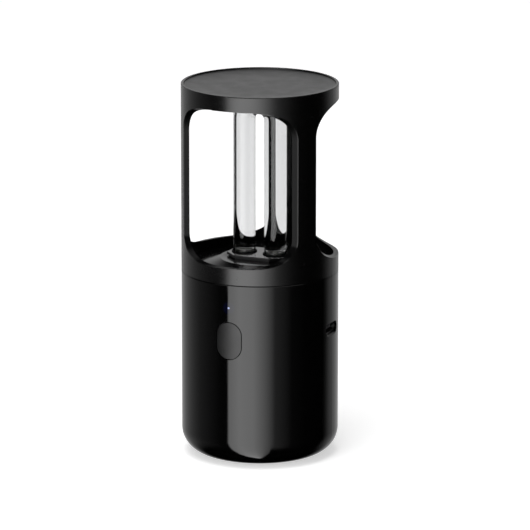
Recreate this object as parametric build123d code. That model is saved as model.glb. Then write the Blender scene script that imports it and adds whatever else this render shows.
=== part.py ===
from build123d import *

import math
import os

# A pocket ultraviolet sterilization lamp, in millimetres.
# Origin: centre of the foot's underside. +Z up, the button faces -Y, the charging port faces +X.

# Body and its heights, counted upwards
body_radius = 26.5
foot_proud = 0.4
shell_height = 63.0
collar_height = 5.5
window_height = 53.5
top_band_height = 5.0

# Walls and general fits
shell_wall = 1.8
cage_wall = 1.7
slip_gap = 0.1
print_gap = 0.2
cut_margin = 1.0

# Base shell
bottom_corner_radius = 8.4
seam_chamfer = 0.2
cover_ring_wall = 1.8
cover_ledge_width = 2.0
cover_ledge_thickness = 1.6
cover_recess_depth = 0.6

# Base cover and foot
cover_thickness = 1.6
foot_rim_gap = 0.3
foot_edge_radius = 0.3

# Cage: collar, pillars and top band
pillar_count = 3
window_plane = 16.35
window_margin = 1.0
window_curve_steps = 6
edge_round = 0.25
skirt_depth = 4.0
skirt_wall = 1.6
seat_thickness = 1.0
lug_radius = 2.6
lug_inset = 3.8
top_rim_width = 1.1
top_dish_depth = 0.9
top_ledge_width = 2.8
top_ledge_thickness = 1.7
cap_thickness = 1.6

# Reflector dish around the lamp
dish_rim_thickness = 1.2
dish_mid_radius = 20.0
dish_mid_rise = 0.45
dish_platform_radius = 13.5
dish_platform_rise = 2.0
dish_thickness = 1.2

# Lamp tube and its seat
tube_radius = 3.8
tube_wall = 0.9
leg_spacing = 11.4
tube_top_gap = 0.6
tube_seal_thickness = 2.0
tube_end_height = 3.4
plate_length = 21.8
plate_width = 14.4
plate_corner = 4.35
plate_thickness = 0.8
plate_step = 0.5
plate_step_inset = 0.45
grommet_wall = 0.4
grommet_height = 0.4
lamp_base_length = 24.0
lamp_base_width = 13.0
lamp_base_corner = 4.0
electrode_radius = 2.2
electrode_length = 6.0
electrode_wall = 0.25
pin_radius = 0.35
pin_drop = 1.0
lead_channel_width = 1.8
lead_channel_height = 2.2

# Inner chassis
chassis_top_thickness = 1.6
chassis_top_gap = 0.6
chassis_top_drop = 4.8
chassis_bottom_thickness = 1.6
chassis_bottom_gap = 4.1
chassis_bottom_lift = 2.4
web_thickness = 1.6
web_edge_inset = 0.6
boss_radius = 2.6
boss_edge_gap = 0.6
cradle_wall = 1.4
cradle_height = 5.0
cradle_levels = (12.0, 32.0)
cradle_opening_angle = 120.0

# Battery
cell_radius = 9.1
cell_length = 35.0
cell_x = -7.0
cell_y = 2.2
cell_groove_radius = 0.4
cell_groove_drop = 2.4
tab_thickness = 0.2
tab_width = 4.0
tab_shift = 2.4
tab_overhang = 1.6
pad_thickness = 0.5
pad_radius = 6.8

# Circuit boards
board_thickness = 1.2
board_corner_radius = 1.0
small_board_thickness = 1.0
driver_standoff = 1.6
driver_half_width = 18.0
driver_height = 20.0
driver_top_gap = 1.0
driver_hole_inset = 2.6
standoff_radius = 2.0
charge_board_port_gap = 2.7
charge_board_length = 17.4
charge_board_front_gap = 0.2
charge_board_depth = 15.6
shelf_thickness = 1.6
shelf_setback = 2.0
charge_hole_inset = 2.4
charge_left_hole_inset = 7.2
charge_right_hole_inset = 3.6
switch_board_half_width = 10.6
switch_board_drop = 8.3
switch_board_top_gap = 0.3
switch_post_x = 8.4
switch_post_radius = 1.8
switch_post_inset = 2.2

# Parts on the charging board: places are (distance from its inner edge, y) on its upper face
charge_chip_places = ((3.2, 0.5), (8.6, 1.5))
charge_chip_size = (3.9, 3.0, 1.1)

# Parts on the driver board: places are (x, height over its lower edge) on its front face
transformer_place = (-6.6, 6.6)
transformer_size = (12.0, 5.6, 11.0)
transformer_leg = 3.0
coil_gap = 0.15
coil_corner_radius = 0.6
capacitor_places = ((10.0, 4.0), (10.0, 9.4))
capacitor_radius = 2.5
capacitor_length = 6.4
chip_places = ((3.0, 5.0), (3.0, 10.5))
chip_size = (4.9, 1.5, 3.9)
top_chip_x = -10.2
top_chip_drop = 2.75
connector_width = 3.4
connector_depth = 4.0
connector_height = 4.0
connector_edge_gap = 0.6

# Button and its switch, the button's middle measured down from the seam
button_drop = 19.1
button_width = 8.9
button_length = 12.7
button_gap = 0.2
button_flange = 0.9
button_flange_thickness = 1.0
button_flange_gap = 0.1
button_edge_round = 0.15
button_stem_radius = 1.6
button_stem_length = 0.8
button_travel = 0.4
plunger_gap = 0.05
plunger_radius = 1.7
plunger_fit = 0.08
plunger_reach = 1.3
plunger_flange_radius = 2.2
plunger_flange_thickness = 0.5
switch_size = 6.0
switch_depth = 3.4
switch_face_wall = 0.5
switch_corner = 0.8

# Status light, measured down from the seam
light_drop = 7.8
light_hole_radius = 0.4
light_tip_gap = 0.05
light_rod_radius = 1.2
light_hood_width = 3.4
light_hood_height = 2.2
light_hood_depth = 1.8
light_hood_wall = 0.5
led_length = 1.6
led_width = 0.8
led_depth = 0.6

# Charging port, measured down from the seam
port_drop = 18.3
port_width = 8.94
port_opening = 3.26
port_wall = 0.3
port_depth = 7.4
port_slot_gap = 0.15
port_recess = 0.9
port_chamfer = 0.5
tongue_width = 6.7
tongue_thickness = 0.7
tongue_setback = 0.8
tongue_base_depth = 1.0

# Screws, all with round pan heads
screw_radius = 0.8
screw_head_radius = 1.6
screw_head_height = 0.9
screw_head_round = 0.3
screw_drive_radius = 0.55
screw_drive_depth = 0.45
screw_hole_gap = 0.15
pilot_gap = 0.03
cover_screw_length = 4.3
chassis_screw_length = 5.0
board_screw_length = 3.6

# Wires
lamp_wire_radius = 0.5
cell_wire_radius = 0.6
signal_wire_radius = 0.4
wire_bend = 1.2
wire_spacing = 1.5
wire_gap = 0.25
short_run_share = 0.9
power_wire_rise = 3.0
power_wire_setback = 3.6
battery_wire_rise = 2.4
battery_wire_inset = 2.4
signal_wire_rise = 3.0

# Places that follow from the sizes above
shell_bottom = foot_proud
seam = shell_bottom + shell_height
window_low = seam + collar_height
window_high = window_low + window_height
top = window_high + top_band_height
shell_inner = body_radius - shell_wall
cage_inner = body_radius - cage_wall
flat_bottom_radius = body_radius - bottom_corner_radius
cover_ring_radius = flat_bottom_radius - slip_gap
cover_radius = cover_ring_radius - cover_ring_wall
cover_low = shell_bottom + cover_recess_depth
cover_high = cover_low + cover_thickness
skirt_outer = shell_inner - slip_gap
skirt_inner = skirt_outer - skirt_wall
seat_high = seam + seat_thickness
cap_radius = body_radius - top_rim_width
cap_high = top - top_dish_depth
cap_low = cap_high - cap_thickness
chassis_bottom_low = cover_high + chassis_bottom_lift
chassis_bottom_high = chassis_bottom_low + chassis_bottom_thickness
chassis_bottom_radius = shell_inner - chassis_bottom_gap
web_half_width = chassis_bottom_radius - web_edge_inset
boss_circle_radius = cover_radius - cover_ledge_width - boss_edge_gap - boss_radius
cell_low = chassis_bottom_high + pad_thickness + tab_thickness
cell_high = cell_low + cell_length
chassis_top_high = seam - chassis_top_drop
chassis_top_low = chassis_top_high - chassis_top_thickness
chassis_top_radius = skirt_inner - chassis_top_gap
lug_circle_radius = skirt_outer - lug_inset
leg_x = leg_spacing / 2
platform_high = seat_high + dish_rim_thickness + dish_platform_rise
platform_low = platform_high - dish_thickness
plate_low = platform_high
plate_high = plate_low + plate_step + plate_thickness
bend_height = cap_low - tube_top_gap - leg_x - tube_radius
tube_low = chassis_top_high + tube_end_height
button_z = seam - button_drop
light_z = seam - light_drop
port_z = seam - port_drop
port_face_x = body_radius - port_recess - port_chamfer
charge_board_far_x = port_face_x - charge_board_port_gap
charge_board_near_x = charge_board_far_x - charge_board_length
shelf_far_x = charge_board_far_x - shelf_setback
charge_board_high = port_z - port_opening / 2
charge_board_low = charge_board_high - board_thickness

# Depths behind the button, all along Y
flange_front_radius = shell_inner - button_flange_gap
flange_back_y = -flange_front_radius + button_flange_thickness
stem_end_y = flange_back_y + button_stem_length
plunger_tip_y = stem_end_y + plunger_gap
switch_face_y = plunger_tip_y + plunger_reach
switch_board_front_y = switch_face_y + switch_depth
switch_board_back_y = switch_board_front_y + small_board_thickness
switch_board_low = button_z - switch_board_drop
switch_board_high = chassis_top_low - switch_board_top_gap

# The chassis web carries the battery behind it and the boards in front of it
web_back_y = cell_y - cell_radius - slip_gap
web_front_y = web_back_y - web_thickness
driver_back_y = web_front_y - driver_standoff
driver_front_y = driver_back_y - board_thickness
driver_high = switch_board_low - driver_top_gap
driver_low = driver_high - driver_height
connector_high = driver_high - connector_edge_gap


def upright_rod(radius, low, high, x=0.0, y=0.0):
    """Round bar along Z."""
    bar = Cylinder(radius, high - low, align=(Align.CENTER, Align.CENTER, Align.MIN))
    return Pos(x, y, low) * bar


def forward_rod(radius, front_y, back_y, x=0.0, z=0.0):
    """Round bar along Y."""
    bar = Cylinder(radius, back_y - front_y, align=(Align.CENTER, Align.CENTER, Align.MIN))
    return Pos(x, front_y, z) * Rot(-90, 0, 0) * bar


def block(x_range, y_range, z_range):
    """Box between three pairs of coordinates."""
    size = [high - low for low, high in (x_range, y_range, z_range)]
    box = Box(*size, align=(Align.MIN, Align.MIN, Align.MIN))
    return Pos(x_range[0], y_range[0], z_range[0]) * box


def turned(section):
    """Solid of revolution about Z from a section drawn as (radius, height)."""
    return revolve(Plane.XZ * section, Axis.Z)


def corner_of(section, x, y):
    """Corner of a flat section that lies nearest to a point."""
    return section.vertices().sort_by_distance((x, y, 0))[0]


def around(radius, count, start=0.0):
    """Points on a circle, the first at the given angle from +X."""
    for turn in range(count):
        angle = math.radians(start + turn * 360.0 / count)
        yield radius * math.cos(angle), radius * math.sin(angle)


def upright_screw(seat, length, x, y, head_up):
    """Pan head screw along Z, with its head's flat side at the seat."""
    way = 1.0 if head_up else -1.0
    head_ends = sorted((seat, seat + way * screw_head_height))
    shank_ends = sorted((seat, seat - way * length))
    head = upright_rod(screw_head_radius, *head_ends, x, y)
    rim = head.faces().sort_by(Axis.Z)[-1 if head_up else 0].edges()
    head = fillet(rim, screw_head_round)
    head_top = seat + way * screw_head_height
    drive_ends = sorted((head_top, head_top - way * screw_drive_depth))
    drive = upright_rod(screw_drive_radius, *drive_ends, x, y)
    return head + upright_rod(screw_radius, *shank_ends, x, y) - drive


def forward_screw(seat_y, length, x, z):
    """Pan head screw along Y, with its head towards the front."""
    head_front = seat_y - screw_head_height
    head = forward_rod(screw_head_radius, head_front, seat_y, x, z)
    head = fillet(head.faces().sort_by(Axis.Y)[0].edges(), screw_head_round)
    drive = forward_rod(screw_drive_radius, head_front, head_front + screw_drive_depth, x, z)
    return head + forward_rod(screw_radius, seat_y, seat_y + length, x, z) - drive


def wire(points, radius, bend=wire_bend):
    """Round wire along straight runs joined by tangent bends."""
    path = FilletPolyline(*points, radius=bend)
    start = Plane(origin=path @ 0, z_dir=path % 0)
    return sweep(start * Circle(radius), path=path)


def boss_points():
    """Centres of the bosses that take the cover screws."""
    return list(around(boss_circle_radius, 3, start=-90.0))


def lug_points():
    """Centres of the cage's lugs, one under each pillar."""
    return list(around(lug_circle_radius, pillar_count, start=90.0))


def button_outline(grow):
    """Upright oval of the button, grown by a margin all round."""
    return SlotOverall(button_length + 2 * grow, button_width + 2 * grow, rotation=90)


def button_prism(grow, front_y, back_y):
    """Bar along Y with the button's outline."""
    face = Plane(origin=(0, front_y, button_z), x_dir=(1, 0, 0), z_dir=(0, 1, 0)) * button_outline(grow)
    return extrude(face, amount=back_y - front_y)


def port_face(width, opening, x):
    """Flat oval with the outline of the charging port."""
    return Plane(origin=(x, 0, port_z), x_dir=(0, 1, 0), z_dir=(1, 0, 0)) * SlotOverall(width, opening)


def port_prism(width, opening, near_x, far_x):
    """Bar along X with the outline of the charging port."""
    return extrude(port_face(width, opening, near_x), amount=far_x - near_x)


def make_base_shell():
    floor_high = shell_bottom + shell_wall
    ledge_low = cover_high
    ledge_high = ledge_low + cover_ledge_thickness
    ledge_bore = cover_radius - cover_ledge_width
    recess = cover_radius + slip_gap
    section = make_face(Polyline(
        (recess, shell_bottom),
        (body_radius, shell_bottom),
        (body_radius, seam),
        (shell_inner, seam),
        (shell_inner, floor_high),
        (cover_ring_radius, floor_high),
        (cover_ring_radius, ledge_high),
        (ledge_bore, ledge_high),
        (ledge_bore, ledge_low),
        (recess, ledge_low),
        close=True,
    ))
    section = fillet(corner_of(section, body_radius, shell_bottom), bottom_corner_radius)
    section = fillet(corner_of(section, shell_inner, floor_high), bottom_corner_radius - shell_wall)
    section = chamfer(corner_of(section, body_radius, seam), seam_chamfer)
    shell = turned(section)
    outside = body_radius + cut_margin
    inside = shell_inner - port_depth
    shell -= button_prism(button_gap, -outside, -inside)
    shell -= forward_rod(light_hole_radius, -outside, -inside, 0, light_z)
    slot_width = port_width + 2 * port_slot_gap
    slot_opening = port_opening + 2 * port_slot_gap
    shell -= port_prism(slot_width, slot_opening, inside, outside)
    spread = 2 * (port_chamfer + cut_margin)
    narrow = port_face(slot_width, slot_opening, body_radius - port_chamfer)
    wide = port_face(slot_width + spread, slot_opening + spread, outside)
    return shell - loft([narrow, wide])


def make_base_cover():
    cover = upright_rod(cover_radius, cover_low, cover_high)
    for x, y in boss_points():
        head_gap = screw_head_radius + screw_hole_gap
        cover -= upright_rod(head_gap, cover_low, cover_low + screw_head_height, x, y)
        cover -= upright_rod(screw_radius + screw_hole_gap, cover_low, cover_high, x, y)
    return cover


def make_cover_screws():
    seat = cover_low + screw_head_height
    return [upright_screw(seat, cover_screw_length, x, y, head_up=False) for x, y in boss_points()]


def make_foot_pad():
    foot = upright_rod(cover_radius - foot_rim_gap, 0, cover_low)
    return fillet(foot.faces().sort_by(Axis.Z)[0].edges(), foot_edge_radius)


def window_quarter(radius, centre_z, side, way):
    """Curve from the window's middle to its side, where a level round bar meets a cylinder."""
    corner = body_radius - window_plane
    end = math.acos(window_plane / radius)
    points = []
    for step in range(window_curve_steps + 1):
        angle = end * math.sin(math.pi / 2 * step / window_curve_steps)
        y = -radius * math.cos(angle)
        across = min((y + body_radius) / corner, 1.0)
        height = corner * math.sqrt(1 - across * across)
        points.append((side * radius * math.sin(angle), y, centre_z + way * height))
    return points


def window_outline(radius):
    """Outline of the front window on a cylinder, with a level sill and head."""
    corner = body_radius - window_plane
    sides = []
    for side in (1, -1):
        low = window_quarter(radius, window_low + corner, side, -1)
        high = window_quarter(radius, window_high - corner, side, 1)
        sides.append(Spline(low, tangents=[(side, 0, 0), (0, 0, 1)]))
        sides.append(Line(low[-1], high[-1]))
        sides.append(Spline(high[::-1], tangents=[(0, 0, 1), (-side, 0, 0)]))
    return Wire(sides)


def window_walls():
    """Surface round the front window, running from inside the wall to outside it."""
    inner = window_outline(cage_inner - window_margin)
    outer = window_outline(body_radius + window_margin)
    return Shell.make_loft([outer, inner], ruled=True)


def make_cage_frame():
    cap_seat = cap_radius + slip_gap
    ledge_inner = cap_seat - top_ledge_width
    section = make_face(Polyline(
        (skirt_inner, seam - skirt_depth),
        (skirt_outer, seam - skirt_depth),
        (skirt_outer, seam),
        (body_radius, seam),
        (body_radius, top),
        (cap_seat, top),
        (cap_seat, cap_low),
        (ledge_inner, cap_low),
        (ledge_inner, cap_low - top_ledge_thickness),
        (cage_inner, cap_low - top_ledge_thickness),
        (cage_inner, seat_high),
        (skirt_inner, seat_high),
        close=True,
    ))
    section = fillet(corner_of(section, body_radius, top), edge_round)
    section = fillet(corner_of(section, cap_seat, top), edge_round)
    section = chamfer(corner_of(section, body_radius, seam), seam_chamfer)
    cage = turned(section)
    walls = window_walls()
    for turn in range(pillar_count):
        pieces = cage.split(Rot(0, 0, turn * 360.0 / pillar_count) * walls, keep=Keep.ALL)
        cage = max(pieces, key=lambda piece: piece.volume)
    for x, y in lug_points():
        cage += upright_rod(lug_radius, chassis_top_high, seat_high, x, y)
        cage -= upright_rod(screw_radius + pilot_gap, chassis_top_high, seam, x, y)
    return cage


def make_top_cap():
    cap = upright_rod(cap_radius, cap_low, cap_high)
    return fillet(cap.faces().sort_by(Axis.Z)[-1].edges(), edge_round)


def make_reflector_dish():
    rim_radius = cage_inner - print_gap
    rim_high = seat_high + dish_rim_thickness
    slope = ThreePointArc(
        (rim_radius, rim_high),
        (dish_mid_radius, rim_high + dish_mid_rise),
        (dish_platform_radius, platform_high),
    )
    outline = slope + Polyline(
        (dish_platform_radius, platform_high),
        (0, platform_high),
        (0, platform_low),
        (dish_platform_radius - dish_thickness, platform_low),
        (skirt_inner - dish_thickness, seat_high),
        (rim_radius, seat_high),
        (rim_radius, rim_high),
    )
    dish = turned(make_face(outline))
    for x in (-leg_x, leg_x):
        dish -= upright_rod(tube_radius + print_gap, seat_high, platform_high, x)
    return dish


def octagon(length, width, corner):
    """Rectangle with its four corners cut off at 45 degrees."""
    face = Rectangle(length, width)
    return chamfer(face.vertices(), corner)


def make_lamp_plate():
    lower = octagon(plate_length - 2 * plate_step_inset, plate_width - 2 * plate_step_inset, plate_corner)
    upper = octagon(plate_length, plate_width, plate_corner)
    plate = extrude(Pos(0, 0, plate_low) * lower, amount=plate_step)
    plate += extrude(Pos(0, 0, plate_low + plate_step) * upper, amount=plate_thickness)
    rim = plate.faces().sort_by(Axis.Z)[-1].edges()
    plate = fillet(rim, edge_round)
    for x in (-leg_x, leg_x):
        plate -= upright_rod(tube_radius + print_gap, plate_low, plate_high, x)
    return plate


def make_tube_grommets():
    grommets = []
    for x in (-leg_x, leg_x):
        inner = tube_radius + slip_gap
        section = make_face(Polyline(
            (inner, plate_high),
            (inner + grommet_wall, plate_high),
            (inner + grommet_wall, plate_high + grommet_height),
            (inner, plate_high + grommet_height),
            close=True,
        ))
        section = fillet(corner_of(section, inner + grommet_wall, plate_high + grommet_height), edge_round)
        grommets.append(Pos(x, 0, 0) * turned(section))
    return grommets


def make_lamp_base():
    outline = RectangleRounded(lamp_base_length, lamp_base_width, lamp_base_corner)
    base_high = platform_low
    base = extrude(Pos(0, 0, chassis_top_high) * outline, amount=base_high - chassis_top_high)
    for x in (-leg_x, leg_x):
        half_channel = lead_channel_width / 2
        base -= upright_rod(tube_radius + slip_gap, tube_low - slip_gap, base_high, x)
        base -= upright_rod(half_channel, chassis_top_high, base_high, x)
        channel = block(
            (x - half_channel, x + half_channel),
            (-lamp_base_width, 0),
            (chassis_top_high, chassis_top_high + lead_channel_height),
        )
        base -= channel
    return base


def u_path():
    """Centre line of the tube: up one leg, half a turn, down the other leg."""
    left_low = (-leg_x, 0, tube_low)
    left_high = (-leg_x, 0, bend_height)
    right_high = (leg_x, 0, bend_height)
    right_low = (leg_x, 0, tube_low)
    bend = ThreePointArc(left_high, (0, 0, bend_height + leg_x), right_high)
    return Line(left_low, left_high) + bend + Line(right_high, right_low)


def make_uv_tube():
    path = u_path()
    start = Plane(origin=(-leg_x, 0, tube_low), z_dir=(0, 0, 1))
    outside = sweep(start * Circle(tube_radius), path=path)
    bore = sweep(start * Circle(tube_radius - tube_wall), path=path)
    tube = outside - bore
    for x in (-leg_x, leg_x):
        tube += upright_rod(tube_radius - tube_wall / 2, tube_low, tube_low + tube_seal_thickness, x)
        tube -= upright_rod(pin_radius + pilot_gap, tube_low, tube_low + tube_seal_thickness, x)
    return tube


def make_electrode_cups():
    cups = []
    for x in (-leg_x, leg_x):
        cup_low = tube_low + tube_seal_thickness
        cup = upright_rod(electrode_radius, cup_low, cup_low + electrode_length, x)
        hollow = electrode_radius - electrode_wall
        cup -= upright_rod(hollow, cup_low + electrode_wall, cup_low + electrode_length, x)
        cup += upright_rod(pin_radius, tube_low - pin_drop, cup_low, x)
        cups.append(cup)
    return cups


def lamp_wire_y():
    """Depth at which the lamp wires enter their connectors on the driver board."""
    return driver_front_y - connector_depth / 2


def make_lamp_leads():
    run_z = chassis_top_high + lead_channel_height / 2
    leads = []
    for x in (-leg_x, leg_x):
        points = (
            (x, 0, tube_low - pin_drop),
            (x, 0, run_z),
            (x, lamp_wire_y(), run_z),
            (x, lamp_wire_y(), connector_high),
        )
        leads.append(wire(points, lamp_wire_radius, run_bend(tube_low - pin_drop - run_z)))
    return leads


def run_bend(run):
    """Bend radius that fits at the end of a short run."""
    return min(wire_bend, short_run_share * run)


def cradle_ring(level):
    """Springy C round the battery, open towards the back."""
    outer = upright_rod(cell_radius + slip_gap + cradle_wall, level, level + cradle_height, cell_x, cell_y)
    bore = upright_rod(cell_radius + slip_gap, level, level + cradle_height, cell_x, cell_y)
    half = math.radians(cradle_opening_angle / 2)
    reach = 2 * cell_radius
    side = reach * math.sin(half)
    back = cell_y + reach * math.cos(half)
    mouth = extrude(make_face(Polyline(
        (cell_x, cell_y, level),
        (cell_x + side, back, level),
        (cell_x + side, back + reach, level),
        (cell_x - side, back + reach, level),
        (cell_x - side, back, level),
        close=True,
    )), amount=cradle_height)
    return outer - bore - mouth


def driver_hole_points():
    """Centres of the driver board's screw holes."""
    x = driver_half_width - driver_hole_inset
    low = driver_low + driver_hole_inset
    high = driver_high - driver_hole_inset
    return [(-x, low), (x, low), (-x, high), (x, high)]


def charge_hole_points():
    """Centres of the charging board's screw holes, along its back edge behind the port."""
    y = web_back_y + charge_board_front_gap + charge_board_depth - charge_hole_inset
    x_left = charge_board_near_x + charge_left_hole_inset
    x_right = charge_board_far_x - charge_right_hole_inset
    return [(x_left, y), (x_right, y)]


def switch_hole_points():
    """Centres of the switch board's screw holes."""
    low = switch_board_low + switch_post_inset
    high = switch_board_high - switch_post_inset
    return [(-switch_post_x, low), (switch_post_x, low), (-switch_post_x, high), (switch_post_x, high)]


def make_chassis():
    frame = upright_rod(chassis_top_radius, chassis_top_low, chassis_top_high)
    frame += upright_rod(chassis_bottom_radius, chassis_bottom_low, chassis_bottom_high)
    frame += block(
        (-web_half_width, web_half_width),
        (web_front_y, web_back_y),
        (chassis_bottom_high, chassis_top_low),
    )
    for level in cradle_levels:
        frame += cradle_ring(level)
    for x, y in boss_points():
        frame += upright_rod(boss_radius, cover_high, chassis_bottom_high, x, y)
        frame -= upright_rod(screw_radius + pilot_gap, cover_high, chassis_bottom_high, x, y)
    frame -= block(
        (-switch_board_half_width - print_gap, switch_board_half_width + print_gap),
        (-chassis_top_radius, switch_board_back_y + print_gap),
        (chassis_top_low, chassis_top_high),
    )
    for x, y in lug_points():
        frame -= upright_rod(screw_radius + screw_hole_gap, chassis_top_low, chassis_top_high, x, y)
        head_low = chassis_top_low - screw_head_height - print_gap
        frame -= upright_rod(screw_head_radius + screw_hole_gap, head_low, chassis_top_low, x, y)
    for x, z in driver_hole_points():
        frame += forward_rod(standoff_radius, driver_back_y, web_front_y, x, z)
        frame -= forward_rod(screw_radius + pilot_gap, driver_back_y, web_back_y, x, z)
    for x, z in switch_hole_points():
        frame += forward_rod(switch_post_radius, switch_board_back_y, web_front_y, x, z)
        frame -= forward_rod(screw_radius + pilot_gap, switch_board_back_y, web_front_y, x, z)
    shelf_low = charge_board_low - shelf_thickness
    shelf_back_y = web_back_y + charge_board_front_gap + charge_board_depth
    frame += block(
        (charge_board_near_x, shelf_far_x), (web_back_y, shelf_back_y), (shelf_low, charge_board_low)
    )
    for x, y in charge_hole_points():
        frame -= upright_rod(screw_radius + pilot_gap, shelf_low, charge_board_low, x, y)
    for x in (-leg_x, leg_x):
        frame -= upright_rod(lead_channel_width / 2, chassis_top_low, chassis_top_high, x, lamp_wire_y())
    slot_left, slot_right = power_wire_x()
    slot_margin = 2 * cell_wire_radius
    frame -= block(
        (slot_left - slot_margin, slot_right + slot_margin),
        (web_front_y, web_back_y),
        (power_run_z() - slot_margin, power_run_z() + slot_margin),
    )
    return frame


def make_chassis_screws():
    screws = []
    for x, y in lug_points():
        screws.append(upright_screw(chassis_top_low, chassis_screw_length, x, y, head_up=False))
    return screws


def make_battery_cell():
    section = make_face(Polyline(
        (0, cell_low), (cell_radius, cell_low), (cell_radius, cell_high), (0, cell_high), close=True
    ))
    for z in (cell_low, cell_high):
        section = fillet(corner_of(section, cell_radius, z), edge_round)
    cell = Pos(cell_x, cell_y, 0) * turned(section)
    groove = Torus(cell_radius + cell_groove_radius / 2, cell_groove_radius)
    return cell - Pos(cell_x, cell_y, cell_high - cell_groove_drop) * groove


def battery_wire_y():
    """Place of the battery wires, just behind the cell."""
    return cell_y + cell_radius + tab_overhang - cell_wire_radius


def battery_tab_places():
    """Middle and underside of each battery tab: the lower one and the upper one."""
    return [(cell_x + tab_shift, cell_low - tab_thickness), (cell_x - tab_shift, cell_high)]


def make_battery_tabs():
    tabs = []
    for x, low in battery_tab_places():
        tabs.append(block(
            (x - tab_width / 2, x + tab_width / 2),
            (cell_y, battery_wire_y() + cell_wire_radius),
            (low, low + tab_thickness),
        ))
    return tabs


def make_battery_pad():
    return upright_rod(pad_radius, chassis_bottom_high, cell_low - tab_thickness, cell_x, cell_y)


def make_battery_leads():
    """A wire up from each tab, over the cell and down to the charging board."""
    leads = []
    board_y = web_back_y + charge_board_depth - battery_wire_inset
    for place, (tab_x, tab_low) in enumerate(battery_tab_places(), start=1):
        run_z = max(charge_board_high, cell_high + tab_thickness) + place * battery_wire_rise
        board_x = charge_board_near_x + place * wire_spacing
        points = (
            (tab_x, battery_wire_y(), tab_low + tab_thickness),
            (tab_x, battery_wire_y(), run_z),
            (board_x, battery_wire_y(), run_z),
            (board_x, board_y, run_z),
            (board_x, board_y, charge_board_high),
        )
        leads.append(wire(points, cell_wire_radius))
    return leads


def make_driver_board():
    board = block(
        (-driver_half_width, driver_half_width),
        (driver_front_y, driver_back_y),
        (driver_low, driver_high),
    )
    board = fillet(board.edges().filter_by(Axis.Y), board_corner_radius)
    for x, z in driver_hole_points():
        board -= forward_rod(screw_radius + screw_hole_gap, driver_front_y, driver_back_y, x, z)
    return board


def make_driver_screws():
    return [forward_screw(driver_front_y, board_screw_length, x, z) for x, z in driver_hole_points()]


def power_wire_x():
    """Places of the two power wires, just outside the switch board's posts."""
    first = switch_post_x + switch_post_radius + cell_wire_radius + 2 * wire_gap
    return first, first + wire_spacing


def power_run_z():
    """Height at which the power wires pass through the chassis web."""
    return charge_board_high + power_wire_rise


def transformer_middle():
    """Middle of the transformer on the driver board's front face."""
    x, rise = transformer_place
    return x, driver_low + rise


def make_transformer_core():
    x, z = transformer_middle()
    width, depth, height = transformer_size
    back = driver_front_y
    core = block((x - width / 2, x + width / 2), (back - depth, back), (z - height / 2, z + height / 2))
    window = (width - 2 * transformer_leg) / 2
    return core - block(
        (x - window, x + window),
        (back - depth, back),
        (z - height / 2 + transformer_leg, z + height / 2 - transformer_leg),
    )


def make_transformer_coil():
    x, z = transformer_middle()
    width, depth, height = transformer_size
    half_width = (width - 2 * transformer_leg) / 2 - coil_gap
    half_height = height / 2 - transformer_leg - coil_gap
    front = driver_front_y - depth + coil_gap
    coil = block(
        (x - half_width, x + half_width),
        (front, driver_front_y),
        (z - half_height, z + half_height),
    )
    return fillet(coil.edges().filter_by(Axis.Y), coil_corner_radius)


def make_driver_capacitors():
    cans = []
    for x, rise in capacitor_places:
        z = driver_low + rise
        can = forward_rod(capacitor_radius, driver_front_y - capacitor_length, driver_front_y, x, z)
        cans.append(fillet(can.faces().sort_by(Axis.Y)[0].edges(), edge_round))
    return cans


def make_driver_chips():
    width, depth, height = chip_size
    places = [(x, driver_low + rise) for x, rise in chip_places]
    places.append((top_chip_x, driver_high - top_chip_drop))
    chips = []
    for x, z in places:
        chips.append(block(
            (x - width / 2, x + width / 2),
            (driver_front_y - depth, driver_front_y),
            (z - height / 2, z + height / 2),
        ))
    return chips


def connector_spans():
    """Left and right sides of the connectors on the driver board: lamp, signal, lamp and power."""
    spans = []
    for centre in (-leg_x, leg_x):
        spans.append((centre - connector_width / 2, centre + connector_width / 2))
    signal_half = wire_spacing + signal_wire_radius + wire_gap
    spans.append((-signal_half, signal_half))
    left, right = power_wire_x()
    power_margin = cell_wire_radius + wire_gap
    spans.append((left - power_margin, right + power_margin))
    return spans


def make_board_connectors():
    connectors = []
    for span in connector_spans():
        connectors.append(block(
            span,
            (driver_front_y - connector_depth, driver_front_y),
            (connector_high - connector_height, connector_high),
        ))
    return connectors


def make_power_leads():
    leads = []
    board_y = web_back_y + power_wire_setback
    for x in power_wire_x():
        points = (
            (x, board_y, charge_board_high),
            (x, board_y, power_run_z()),
            (x, lamp_wire_y(), power_run_z()),
            (x, lamp_wire_y(), connector_high),
        )
        leads.append(wire(points, cell_wire_radius))
    return leads


def make_signal_leads():
    leads = []
    start_z = switch_board_low + signal_wire_rise
    for x in (-wire_spacing, 0, wire_spacing):
        points = (
            (x, switch_board_back_y, start_z),
            (x, lamp_wire_y(), start_z),
            (x, lamp_wire_y(), connector_high),
        )
        leads.append(wire(points, signal_wire_radius, run_bend(lamp_wire_y() - switch_board_back_y)))
    return leads


def make_charge_board():
    front = web_back_y + charge_board_front_gap
    board = block(
        (charge_board_near_x, charge_board_far_x),
        (front, front + charge_board_depth),
        (charge_board_low, charge_board_high),
    )
    board = fillet(board.edges().filter_by(Axis.Z), board_corner_radius)
    for x, y in charge_hole_points():
        board -= upright_rod(screw_radius + screw_hole_gap, charge_board_low, charge_board_high, x, y)
    return board


def make_charge_screws():
    screws = []
    for x, y in charge_hole_points():
        screws.append(upright_screw(charge_board_high, board_screw_length, x, y, head_up=True))
    return screws


def make_charge_chips():
    length, width, height = charge_chip_size
    chips = []
    for rise, y in charge_chip_places:
        x = charge_board_near_x + rise
        chips.append(block(
            (x - length / 2, x + length / 2),
            (y - width / 2, y + width / 2),
            (charge_board_high, charge_board_high + height),
        ))
    return chips


def make_usb_socket():
    near = port_face_x - port_depth
    socket = port_prism(port_width, port_opening, near, port_face_x)
    bore_width = port_width - 2 * port_wall
    bore_opening = port_opening - 2 * port_wall
    return socket - port_prism(bore_width, bore_opening, near + port_wall, port_face_x)


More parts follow.
